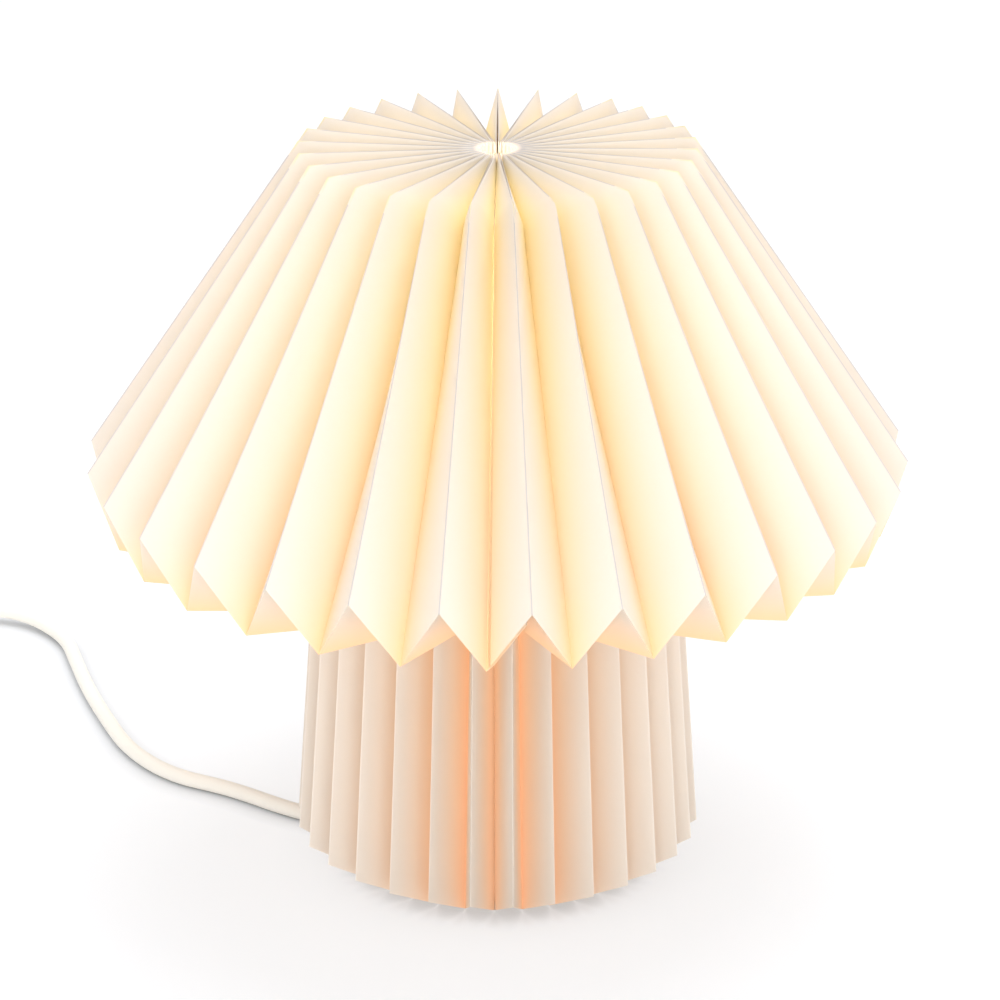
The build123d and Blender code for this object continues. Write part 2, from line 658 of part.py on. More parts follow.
def strain_relief():
    """Tapered sleeve with an inner flange, in the wall of the base."""
    inner_end = -(COVER_WALL + PART_CLEARANCE + RELIEF_FLANGE)
    sleeve = relief_cone(RELIEF_ROOT_RADIUS, RELIEF_ROOT_RADIUS, inner_end, 0)
    sleeve += relief_cone(RELIEF_ROOT_RADIUS, RELIEF_TIP_RADIUS, 0, RELIEF_LENGTH)
    flange_end = inner_end + RELIEF_FLANGE
    sleeve += relief_cone(RELIEF_FLANGE_RADIUS, RELIEF_FLANGE_RADIUS, inner_end, flange_end)
    keep("strain_relief", sleeve)
    return along_relief(inner_end)


def switch():
    """Two housings, rocker and screws of the in-line switch, along X."""
    x, y = SWITCH_MIDDLE
    outline = RectangleRounded(SWITCH_LENGTH, SWITCH_WIDTH, SWITCH_END_ROUND)
    room = RectangleRounded(
        SWITCH_LENGTH - 2 * SWITCH_WALL, SWITCH_WIDTH - 2 * SWITCH_WALL, SWITCH_END_ROUND - SWITCH_WALL
    )
    floor = FLOOR_CLEARANCE
    lower = extrude(outline, SWITCH_SPLIT - floor)
    lower = fillet(lower.faces().sort_by(Axis.Z)[0].edges(), SWITCH_EDGE)
    lower = Pos(0, 0, floor) * lower - Pos(0, 0, floor + SWITCH_WALL) * extrude(room, SWITCH_HEIGHT)
    upper = extrude(outline, SWITCH_HEIGHT - SWITCH_SPLIT)
    upper = fillet(upper.faces().sort_by(Axis.Z)[-1].edges(), SWITCH_EDGE)
    upper = Pos(0, 0, SWITCH_SPLIT) * upper
    upper -= Pos(0, 0, SWITCH_SPLIT) * extrude(room, SWITCH_HEIGHT - SWITCH_SPLIT - SWITCH_WALL)
    window = Box(ROCKER_LENGTH + 2 * ROCKER_GAP, ROCKER_WIDTH + 2 * ROCKER_GAP, 4 * SWITCH_WALL)
    upper -= Pos(0, 0, SWITCH_HEIGHT) * window
    places = [Pos(SWITCH_SCREW_PLACE * side, SWITCH_WIDTH / 4 * side, 0) for side in (-1, 1)]
    post = ring(SWITCH_SCREW_HEAD + SWITCH_WALL / 2, SWITCH_SCREW_RADIUS, floor, SWITCH_SPLIT)
    sink = disc(SWITCH_SCREW_HEAD + THREAD_CLEARANCE, 0, SWITCH_WALL)
    bore = SWITCH_SCREW_RADIUS + THREAD_CLEARANCE
    way = disc(bore, 0, SWITCH_SPLIT)
    stud = disc(SWITCH_SCREW_HEAD, SWITCH_SPLIT, SWITCH_HEIGHT - SWITCH_WALL)
    blind = disc(bore, SWITCH_SPLIT, SWITCH_HEIGHT - 2 * SWITCH_WALL)
    for place in places:
        lower = lower + place * post - place * sink - place * way
        upper = upper + place * stud - place * blind
    across = Plane(origin=(0, 0, ENTRY_HEIGHT), z_dir=(1, 0, 0))
    entry = across * Circle(CORD_RADIUS + THREAD_CLEARANCE)
    lower -= extrude(entry, SWITCH_LENGTH, both=True)
    at = Pos(x, y, 0)
    keep("switch_lower", at * lower)
    keep("switch_upper", at * upper)
    head = disc(SWITCH_SCREW_HEAD, floor + THREAD_CLEARANCE, SWITCH_WALL)
    shank_end = SWITCH_HEIGHT - 2 * SWITCH_WALL - PART_CLEARANCE
    shank = disc(SWITCH_SCREW_RADIUS, SWITCH_WALL, shank_end)
    keep("switch_screws", Compound([at * place * (head + shank) for place in places]))
    crown = ROCKER_LENGTH / 2
    drum = extrude(Plane.XZ.offset(-ROCKER_WIDTH / 2) * Circle(crown), ROCKER_WIDTH)
    upper_half = Pos(0, 0, crown / 2) * Box(2 * crown, 2 * ROCKER_WIDTH, ROCKER_DEPTH_SHARE * crown)
    axis_height = SWITCH_HEIGHT + ROCKER_RISE - crown
    keep("switch_rocker", Pos(x, y, axis_height) * (drum & upper_half))


def plug():
    """Flat two-pin plug, pins towards -Y."""
    x = COIL_MIDDLE[0] - COIL_OUTER
    front = PLUG_REAR_Y - PLUG_LENGTH
    half, neck = PLUG_WIDTH / 2, PLUG_NECK_WIDTH / 2
    with BuildSketch() as outline:
        with BuildLine():
            Line((x - neck, PLUG_REAR_Y), (x + neck, PLUG_REAR_Y))
            shoulder = front + PLUG_LENGTH / 3
            leans = [(PLUG_TAPER, -1), (0, -1)]
            Spline((x + neck, PLUG_REAR_Y), (x + half, shoulder), tangents=leans)
            Polyline((x + half, shoulder), (x + half, front), (x - half, front), (x - half, shoulder))
            leans = [(0, 1), (PLUG_TAPER, 1)]
            Spline((x - half, shoulder), (x - neck, PLUG_REAR_Y), tangents=leans)
        make_face()
    body = extrude(outline.sketch, PLUG_HEIGHT)
    body = chamfer(body.faces().filter_by(Axis.Z).edges(), PLUG_EDGE)
    middle = PLUG_HEIGHT / 2 + FLOOR_CLEARANCE
    ways = []
    pins = []
    for side in (-1, 1):
        across = x + side * PIN_SPACING / 2
        plane = Plane(origin=(across, front, middle), z_dir=(0, -1, 0))
        pin = extrude(plane * Circle(PIN_RADIUS), PIN_LENGTH)
        pin = fillet(pin.faces().sort_by(Axis.Y)[0].edges(), PIN_RADIUS / 2)
        root = extrude(plane * Circle(PIN_ROOT_RADIUS), -PIN_ROOT)
        pins.append(pin + root)
        ways.append(root)
    keep("plug_body", Pos(0, 0, FLOOR_CLEARANCE) * body - ways)
    keep("plug_pins", Compound(pins))
    return Vector(x, PLUG_REAR_Y, middle)


def lead():
    """The lead, from the strain relief to the plug."""
    relief_inside = strain_relief()
    switch()
    plug_rear = plug()
    entry, outlet, coiled = cord_coil()
    coil_tie()
    inlet = Vector(*SWITCH_MIDDLE, ENTRY_HEIGHT) + Vector(SWITCH_LENGTH / 2, 0, 0)
    corners = [along_relief(RELIEF_LENGTH), along_relief(RELIEF_LENGTH + RELIEF_RUN)]
    corners += [Vector(*place, CORD_HEIGHT) for place in ROUTE_TO_SWITCH]
    corners += [inlet + Vector(INLET_RUN, 0, -INLET_FALL), inlet]
    length = cord_tube("supply_cord", corners)
    quarter = [math.radians(turn) for turn in (0, 30, 60)]
    corners = [inlet - Vector(SWITCH_LENGTH, 0, 0)]
    run = (corners[0].X - entry.X) / sum(math.cos(heading) for heading in quarter)
    fall = (ENTRY_HEIGHT - CORD_HEIGHT) / len(quarter)
    for heading in quarter:
        step = Vector(-run * math.cos(heading), -run * math.sin(heading), -fall)
        corners.append(corners[-1] + step)
    length += cord_tube("switch_cord", corners + [entry])
    third = Vector(0, (outlet.Y - PLUG_REAR_Y) / 3, 0)
    length += cord_tube("plug_cord", [outlet, outlet - third, plug_rear + third, plug_rear])
    print("lead length", round(length + coiled + SWITCH_LENGTH + RELIEF_LENGTH, 1))
    route = [
        relief_inside,
        relief_inside - relief_axis()[1] * 2 * LEAD_BEND,
        along_exit(3 * LEAD_BEND, LEAD_HEIGHT),
        Vector(0, 0, LEAD_HEIGHT),
        Vector(0, 0, HOLDER_SEAT),
    ]
    cord_tube("inner_lead", route, LEAD_RADIUS, [4 * LEAD_BEND, 4 * LEAD_BEND, LEAD_BEND])


paper_body()
base_unit()
waist_carrier()
lampholder()
bulb()
lead()

os.makedirs("parts", exist_ok=True)
for name, shape in PIECES.items():
    export_step(shape, f"parts/{name}.step")
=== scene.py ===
"""Looks of the pleated paper table lamp, built round its packed construction."""

import logging
import math
from dataclasses import dataclass, field
from enum import Enum
from typing import Optional, Sequence, Union

import bmesh
import bpy
import numpy as np
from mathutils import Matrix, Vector, noise


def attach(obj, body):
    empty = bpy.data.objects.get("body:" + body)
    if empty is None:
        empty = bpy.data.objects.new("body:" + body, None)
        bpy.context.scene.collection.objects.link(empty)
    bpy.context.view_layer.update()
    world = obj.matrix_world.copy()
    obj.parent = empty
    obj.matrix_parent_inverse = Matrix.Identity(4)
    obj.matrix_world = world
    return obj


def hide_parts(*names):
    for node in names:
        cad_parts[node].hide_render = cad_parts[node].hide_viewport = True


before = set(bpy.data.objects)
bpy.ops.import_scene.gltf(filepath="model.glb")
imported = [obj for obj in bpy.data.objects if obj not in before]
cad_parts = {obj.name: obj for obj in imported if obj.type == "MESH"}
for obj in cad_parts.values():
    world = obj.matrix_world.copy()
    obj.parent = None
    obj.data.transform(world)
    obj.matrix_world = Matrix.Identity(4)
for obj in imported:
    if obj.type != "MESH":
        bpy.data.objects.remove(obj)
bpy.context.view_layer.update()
LOG = logging.getLogger("paper_lamp")
MM = 0.001  # the frame is in metres, and sizes here in millimetres unless they say otherwise
WHITE = "#FFFFFF"
BLEND = {"data_type": "RGBA"}  # makes a Mix node blend colours

Point = tuple[float, float, float]
Corner = tuple[float, float]  # radius and height
Feed = Union[float, Sequence[float], bpy.types.NodeSocket, bpy.types.Node]


class Body(Enum):
    """Bodies of the lamp that the new pieces ride on."""

    BASE = "base"
    PAPER = "paper_shade"


class Ring(Enum):
    """Rings of corners round the paper, in the order in which a fold runs through them."""

    HOLE = "hole"
    TOP = "top"
    RIM = "rim"
    WAIST = "waist"
    FOOT = "foot"
    HEM = "hem"
    RIDGE = "ridge"  # at the hole, on either side of each sunk outer fold


class Turn(Enum):
    """Where the inner folds lie beside the outer ones, seen along the paper from hole to hem."""

    CLOCKWISE = 1
    ANTICLOCKWISE = -1


# ---------------------------------------------------------------- shader helpers
def linear(colour: str) -> tuple[float, float, float, float]:
    """Turn an sRGB colour into a linear one.

    Args:
        colour: sRGB value in hex, such as "#F2E6D8".

    Returns:
        Linear red, green, blue and an alpha of 1.
    """
    parts = [int(colour[i : i + 2], 16) / 255 for i in (1, 3, 5)]
    red, green, blue = (c / 12.92 if c <= 0.04045 else ((c + 0.055) / 1.055) ** 2.4 for c in parts)
    return red, green, blue, 1.0


def per_metre(size_mm: float) -> float:
    """Noise scale at which one feature is size_mm across."""
    return 1 / (size_mm * MM)


class NodeGraph:
    """Nodes of one material or world under construction."""

    def __init__(self, owner: Union[bpy.types.Material, bpy.types.World]) -> None:
        """Start with an empty node tree.

        Args:
            owner: Material or world that the nodes belong to.
        """
        owner.use_nodes = True
        self.owner = owner
        self.tree = owner.node_tree
        self.tree.nodes.clear()

    def add(
        self, kind: str, settings: Optional[dict[str, object]] = None, **sockets: Feed
    ) -> bpy.types.Node:
        """Add a node with its settings and links.

        Args:
            kind: Blender's name of the node's type.
            settings: Properties of the node, which say which of its sockets are in use.
            **sockets: Inputs by name, with _ for a space, or by number, such as _0. Each is given a
                value, an output socket, or a node, which stands for its first output in use.

        Returns:
            The new node.
        """
        node = self.tree.nodes.new(kind)
        for name, value in (settings or {}).items():
            setattr(node, name, value)
        for name, value in sockets.items():
            if name[0] == "_":
                socket = node.inputs[int(name[1:])]
            else:
                label = name.replace("_", " ")
                socket = next(s for s in node.inputs if s.enabled and s.name == label)
            if isinstance(value, bpy.types.Node):
                value = next(output for output in value.outputs if output.enabled)
            if isinstance(value, bpy.types.NodeSocket):
                self.tree.links.new(value, socket)
            else:
                socket.default_value = value
        return node

    def finish(self, shader: bpy.types.Node) -> bpy.types.Material:
        """Link the last shader to the output of a material.

        Args:
            shader: The shader that the surface shows.

        Returns:
            The finished material.
        """
        self.add("ShaderNodeOutputMaterial", Surface=shader)
        return self.owner


# ---------------------------------------------------------------- finishes
@dataclass(frozen=True)
class Relief:
    """Fine pattern that stands out of a surface and breaks up its highlights."""

    size_mm: float
    depth_mm: float
    strength: float
    detail: float

    def draw(
        self, graph: NodeGraph, place: bpy.types.NodeSocket
    ) -> tuple[bpy.types.Node, bpy.types.Node]:
        """Draw the pattern.

        Args:
            graph: Nodes of the material.
            place: Place on the object in metres.

        Returns:
            Node of the pattern, and node of the bump that it gives.
        """
        scale = per_metre(self.size_mm)
        pattern = graph.add("ShaderNodeTexNoise", Vector=place, Scale=scale, Detail=self.detail)
        depth = self.depth_mm * MM
        bump = graph.add("ShaderNodeBump", Height=pattern, Strength=self.strength, Distance=depth)
        return pattern, bump


@dataclass(frozen=True)
class MachineMadePaper:
    """Uncoated wood-free paper of 180 g/m2, scored and pleated by machine.

    Being uncoated it is matt, with a faint tooth and a cloudy look-through. A thin line is painted
    along its scored outer folds: grey painted shade on the cap, a pale painted highlight on the
    column.
    Paste fills the pores of the glued flaps, so more light comes through them.

    In a valley the light goes to and fro between the two panels and takes the colour of the paper
    each time. The tints and the faint glow of the outer faces stand for that: yellow near the bulb
    and orange further from it. Round the hole, right over the bulb, the paper is lit through.
    """

    front: str = "#FCF6EE"
    cloud: str = "#FAF3E8"
    crease: str = "#D9D6D8"  # painted shade along the outer folds of the cap
    ridge: str = "#FFFBF5"  # painted highlight along the outer folds of the column
    through: str = "#FFF3E4"  # what comes through the sheet
    # painted light: colours of the light that goes to and fro in the valleys, by height
    valley_light_foot: str = "#F4C49C"
    valley_light_waist: str = "#FACC96"
    valley_light_rim: str = "#FFE2BA"
    valley_light_top: str = "#FFF3B4"
    glow: str = "#FFE0BE"
    mouth: str = "#FFF6D8"  # glow of the paper round the hole
    fibre_mm: float = 1.1
    fibre_detail: float = 4.0
    fibre_roughness: float = 0.6
    # the real tooth, of about 0.05 mm, is too fine to show
    tooth: Relief = Relief(size_mm=0.35, depth_mm=0.05, strength=0.12, detail=2.0)
    roughness: float = 0.85
    specular: float = 0.25
    painted_fold_line_share: float = 0.022  # of the panel's width
    painted_fold_line_core: float = 0.3  # share of the painted fold line that has its full colour
    see_through: float = 0.25
    glued_see_through: float = 0.8
    valley_light_share: float = 0.9
    valley_light_power: float = 1.6  # keeps the painted light near the bottom of the valley
    column_glow: float = 0.25
    cap_glow: float = 0.03
    mouth_glow: float = 0.45
    mouth_mm: tuple[float, float] = (7.0, 9.0)  # radii between which the mouth's glow fades
    heights_mm: tuple[float, float, float] = (0.0, 165.0, 281.0)  # foot, rim and top
    cap_start: float = 0.86  # share of the rim's height from which the looks turn to the cap's
    middle_mm: float = 200.0  # height of a point that every outer face looks away from

    def outside(self, graph: NodeGraph, seat: bpy.types.Node) -> bpy.types.Node:
        """Tell the outer faces from the inner ones.

        Args:
            graph: Nodes of the material.
            seat: Its Texture Coordinate node.

        Returns:
            Node that gives 1 on outer faces and 0 on inner ones.
        """
        place, normal = seat.outputs["Object"], seat.outputs["Normal"]
        middle = (0.0, 0.0, self.middle_mm * MM)
        difference, product = {"operation": "SUBTRACT"}, {"operation": "DOT_PRODUCT"}
        away = graph.add("ShaderNodeVectorMath", difference, _0=place, _1=middle)
        facing = graph.add("ShaderNodeVectorMath", product, _0=away, _1=normal)
        return graph.add("ShaderNodeMath", {"operation": "GREATER_THAN"}, _0=facing, _1=0.0)

    def valley_light(
        self, graph: NodeGraph, height: bpy.types.NodeSocket, on_cap: bpy.types.Node
    ) -> bpy.types.Node:
        """Colour the light in the valleys by its height.

        Args:
            graph: Nodes of the material.
            height: Height in metres.
            on_cap: Node that gives 1 on the cap and 0 on the column.

        Returns:
            Node that gives the colour.
        """
        foot, rim, top = (h * MM for h in self.heights_mm)
        up_column = graph.add("ShaderNodeMapRange", Value=height, From_Min=foot, From_Max=rim)
        up_cap = graph.add("ShaderNodeMapRange", Value=height, From_Min=rim, From_Max=top)
        foot_tint, waist_tint = linear(self.valley_light_foot), linear(self.valley_light_waist)
        rim_tint, top_tint = linear(self.valley_light_rim), linear(self.valley_light_top)
        column = graph.add("ShaderNodeMix", BLEND, Factor=up_column, A=foot_tint, B=waist_tint)
        cap = graph.add("ShaderNodeMix", BLEND, Factor=up_cap, A=rim_tint, B=top_tint)
        return graph.add("ShaderNodeMix", BLEND, Factor=on_cap, A=column, B=cap)

    def at_mouth(self, graph: NodeGraph, place: bpy.types.NodeSocket) -> bpy.types.Node:
        """Tell the paper round the hole from the rest.

        Args:
            graph: Nodes of the material.
            place: Place on the object in metres.

        Returns:
            Node that gives 1 at the edge of the hole and 0 past the mouth.
        """
        flat = (1.0, 1.0, 0.0)  # drops the height
        level = graph.add("ShaderNodeVectorMath", {"operation": "MULTIPLY"}, _0=place, _1=flat)
        away = graph.add("ShaderNodeVectorMath", {"operation": "LENGTH"}, _0=level)
        inner, outer = (radius * MM for radius in self.mouth_mm)
        return graph.add("ShaderNodeMapRange", Value=away, From_Min=outer, From_Max=inner)

    def make(self) -> bpy.types.Material:
        """Build the material.

        Returns:
            The paper material.
        """
        graph = NodeGraph(bpy.data.materials.new("paper_uncoated_pleated"))
        seat = graph.add("ShaderNodeTexCoord")
        place = seat.outputs["Object"]
        height = graph.add("ShaderNodeSeparateXYZ", Vector=place).outputs["Z"]
        valley = graph.add("ShaderNodeAttribute", {"attribute_name": "valley"}).outputs["Fac"]
        glued = graph.add("ShaderNodeAttribute", {"attribute_name": "glued"}).outputs["Fac"]
        rim = self.heights_mm[1] * MM
        start = self.cap_start * rim
        on_cap = graph.add("ShaderNodeMapRange", Value=height, From_Min=start, From_Max=rim)

        fibres = graph.add(
            "ShaderNodeTexNoise",
            Vector=place,
            Scale=per_metre(self.fibre_mm),
            Detail=self.fibre_detail,
            Roughness=self.fibre_roughness,
        )
        front, cloud = linear(self.front), linear(self.cloud)
        pulp = graph.add("ShaderNodeMix", BLEND, Factor=fibres, A=front, B=cloud)

        # painted light: the outer faces take the warm colour of the light in each valley, deepest
        # at the inner fold
        bend = graph.add("ShaderNodeMath", {"operation": "POWER"}, _0=valley, _1=self.valley_light_power)
        outside = self.outside(graph, seat)
        deep = graph.add("ShaderNodeMath", {"operation": "MULTIPLY"}, _0=bend, _1=outside)
        share = graph.add("ShaderNodeMath", {"operation": "MULTIPLY"}, _0=deep, _1=self.valley_light_share)
        valley_light = self.valley_light(graph, height, on_cap)
        valley_lit = graph.add("ShaderNodeMix", BLEND, Factor=share, A=pulp, B=valley_light)

        # painted shade along the outer folds of the cap, and painted highlight along those of the
        # column
        edge = graph.add(
            "ShaderNodeMapRange",
            {"interpolation_type": "SMOOTHSTEP"},
            Value=valley,
            From_Min=self.painted_fold_line_share,
            From_Max=self.painted_fold_line_core * self.painted_fold_line_share,
        )
        ridge, crease = linear(self.ridge), linear(self.crease)
        fold = graph.add("ShaderNodeMix", BLEND, Factor=on_cap, A=ridge, B=crease)
        colour = graph.add("ShaderNodeMix", BLEND, Factor=edge, A=valley_lit, B=fold)

        mouth = self.at_mouth(graph, place)
        warm, bright = linear(self.glow), linear(self.mouth)
        glow = graph.add("ShaderNodeMix", BLEND, Factor=mouth, A=warm, B=bright)
        low, high = self.column_glow, self.cap_glow
        level = graph.add("ShaderNodeMapRange", Value=on_cap, To_Min=low, To_Max=high)
        in_valley = graph.add("ShaderNodeMath", {"operation": "MULTIPLY"}, _0=deep, _1=level)
        total = {"operation": "MULTIPLY_ADD"}
        lit = graph.add("ShaderNodeMath", total, _0=mouth, _1=self.mouth_glow, _2=in_valley)

        _, bump = self.tooth.draw(graph, place)
        face = graph.add(
            "ShaderNodeBsdfPrincipled",
            Base_Color=colour,
            Roughness=self.roughness,
            Specular_IOR_Level=self.specular,
            Normal=bump,
            Emission_Color=glow,
            Emission_Strength=lit,
        )
        back = graph.add("ShaderNodeBsdfTranslucent", Color=linear(self.through), Normal=bump)
        plain, pasted = self.see_through, self.glued_see_through
        passed = graph.add("ShaderNodeMapRange", Value=glued, To_Min=plain, To_Max=pasted)
        return graph.finish(graph.add("ShaderNodeMixShader", _0=passed, _1=face, _2=back))


@dataclass(frozen=True)
class MouldedSolid:
    """Plastic, glass or ceramic from a mould, whose fine grain breaks up its highlights.

    Faint patches left by handling change the gloss a little over the surface.
    """

    name: str
    colour: str
    roughness: float = 0.42
    # the grain of a real mould, of about 0.05 mm, is too fine to show
    grain: Relief = Relief(size_mm=0.5, depth_mm=0.05, strength=0.08, detail=3.0)
    patch_mm: float = 18.0
    patch_detail: float = 2.0
    patch_change: float = 0.05
    ior: float = 1.5

    def make(self) -> bpy.types.Material:
        """Build the material.

        Returns:
            The moulded material.
        """
        graph = NodeGraph(bpy.data.materials.new(self.name))
        place = graph.add("ShaderNodeTexCoord").outputs["Object"]
        patches = graph.add(
            "ShaderNodeTexNoise",
            Vector=place,
            Scale=per_metre(self.patch_mm),
            Detail=self.patch_detail,
        )
        rough = graph.add(
            "ShaderNodeMapRange",
            Value=patches,
            To_Min=self.roughness - self.patch_change,
            To_Max=self.roughness + self.patch_change,
        )
        _, bump = self.grain.draw(graph, place)
        skin = graph.add(
            "ShaderNodeBsdfPrincipled",
            Base_Color=linear(self.colour),
            Roughness=rough,
            IOR=self.ior,
            Normal=bump,
        )
        return graph.finish(skin)


@dataclass(frozen=True)
class WorkedMetal:
    """Metal with the fine marks of its turning, stamping or plating, which blur its reflections."""

    name: str
    colour: str
    roughness: float
    # real marks, of about 0.05 mm, are too fine to show
    marks: Relief = Relief(size_mm=0.4, depth_mm=0.03, strength=0.1, detail=3.0)
    smoother: float = 0.08
    rougher: float = 0.1
    metallic: float = 1.0

    def make(self) -> bpy.types.Material:
        """Build the material.

        Returns:
            The metal material.
        """
        graph = NodeGraph(bpy.data.materials.new(self.name))
        place = graph.add("ShaderNodeTexCoord").outputs["Object"]
        marks, bump = self.marks.draw(graph, place)
        rough = graph.add(
            "ShaderNodeMapRange",
            Value=marks,
            To_Min=self.roughness - self.smoother,
            To_Max=self.roughness + self.rougher,
        )
        skin = graph.add(
            "ShaderNodeBsdfPrincipled",
            Base_Color=linear(self.colour),
            Metallic=self.metallic,
            Roughness=rough,
            Normal=bump,
        )
        return graph.finish(skin)


@dataclass(frozen=True)
class LitOpalGlass:
    """Blown opal glass of a lit bulb, which scatters the light and so glows evenly all over."""

    colour: str = "#F6EFE2"
    glow: str = "#FFF0DA"
    strength: float = 20.0
    roughness: float = 0.25
    ior: float = 1.5

    def make(self) -> bpy.types.Material:
        """Build the material.

        Returns:
            The glass material.
        """
        graph = NodeGraph(bpy.data.materials.new("opal_glass_lit"))
        skin = graph.add(
            "ShaderNodeBsdfPrincipled",
            Base_Color=linear(self.colour),
            Roughness=self.roughness,
            IOR=self.ior,
            Emission_Color=linear(self.glow),
            Emission_Strength=self.strength,
        )
        return graph.finish(skin)


@dataclass(frozen=True)
class PowderCoat:
    """Powder-coated steel: a hard satin skin with the slight orange peel of the fused powder."""

    name: str
    colour: str
    roughness: float = 0.42
    peel: Relief = Relief(size_mm=1.6, depth_mm=0.04, strength=0.25, detail=1.0)

    def make(self) -> bpy.types.Material:
        """Build the material.

        Returns:
            The coated metal.
        """
        graph = NodeGraph(bpy.data.materials.new(self.name))
        place = graph.add("ShaderNodeTexCoord").outputs["Object"]
        _, bump = self.peel.draw(graph, place)
        skin = graph.add(
            "ShaderNodeBsdfPrincipled",
            Base_Color=linear(self.colour),
            Roughness=self.roughness,
            Normal=bump,
        )
        return graph.finish(skin)


@dataclass(frozen=True)
class ClosedCellFoam:
    """Sliced closed-cell foam: matt, with small burst cells on its cut face."""

    colour: str = "#26262A"
    roughness: float = 0.92
    cell_mm: float = 0.9
    cell_strength: float = 0.5
    cell_depth_mm: float = 0.2

    def make(self) -> bpy.types.Material:
        """Build the material.

        Returns:
            The foam.
        """
        graph = NodeGraph(bpy.data.materials.new("foam_closed_cell"))
        place = graph.add("ShaderNodeTexCoord").outputs["Object"]
        cells = graph.add("ShaderNodeTexVoronoi", Vector=place, Scale=per_metre(self.cell_mm))
        bump = graph.add(
            "ShaderNodeBump",
            Height=cells,
            Strength=self.cell_strength,
            Distance=self.cell_depth_mm * MM,
        )
        skin = graph.add(
            "ShaderNodeBsdfPrincipled",
            Base_Color=linear(self.colour),
            Roughness=self.roughness,
            Normal=bump,
        )
        return graph.finish(skin)


@dataclass(frozen=True)
class ExtrudedSheath:
    """Extruded soft PVC: satin, with a faintly drawn surface and dull patches from handling."""

    name: str = "pvc_sheath_extruded"
    colour: str = "#F1EDE4"
    roughness: float = 0.46
    smoother: float = 0.07
    duller: float = 0.09
    patch_mm: float = 14.0
    patch_detail: float = 3.0
    # the drawn surface of a real sheath is too fine to show
    grain: Relief = Relief(size_mm=0.6, depth_mm=0.05, strength=0.06, detail=2.0)

    def make(self) -> bpy.types.Material:
        """Build the material.

        Returns:
            The sheath.
        """
        graph = NodeGraph(bpy.data.materials.new(self.name))
        place = graph.add("ShaderNodeTexCoord").outputs["Object"]
        patches = graph.add(
            "ShaderNodeTexNoise",
            Vector=place,
            Scale=per_metre(self.patch_mm),
            Detail=self.patch_detail,
        )
        rough = graph.add(
            "ShaderNodeMapRange",
            Value=patches,
            To_Min=self.roughness - self.smoother,
            To_Max=self.roughness + self.duller,
        )
        _, bump = self.grain.draw(graph, place)
        skin = graph.add(
            "ShaderNodeBsdfPrincipled",
            Base_Color=linear(self.colour),
            Roughness=rough,
            Normal=bump,
        )
        return graph.finish(skin)


# ---------------------------------------------------------------- studio
@dataclass(frozen=True)
class SoftLamp:
    """One square soft lamp of the studio, with its sizes in metres."""

    name: str
    place: Point
    aim: Point
    side: float
    watts: float

    def hang(self) -> bpy.types.Object:
        """Hang the lamp.

        Returns:
            The lamp.
        """
        data = bpy.data.lights.new(self.name, "AREA")
        data.size = self.side
        data.energy = self.watts
        lamp = bpy.data.objects.new(self.name, data)
        lamp.location = self.place
        towards = Vector(self.aim) - Vector(self.place)
        lamp.rotation_euler = towards.to_track_quat("-Z", "Y").to_euler()
        bpy.context.scene.collection.objects.link(lamp)
        LOG.info("%s: %.1f W", self.name, self.watts)
        return lamp


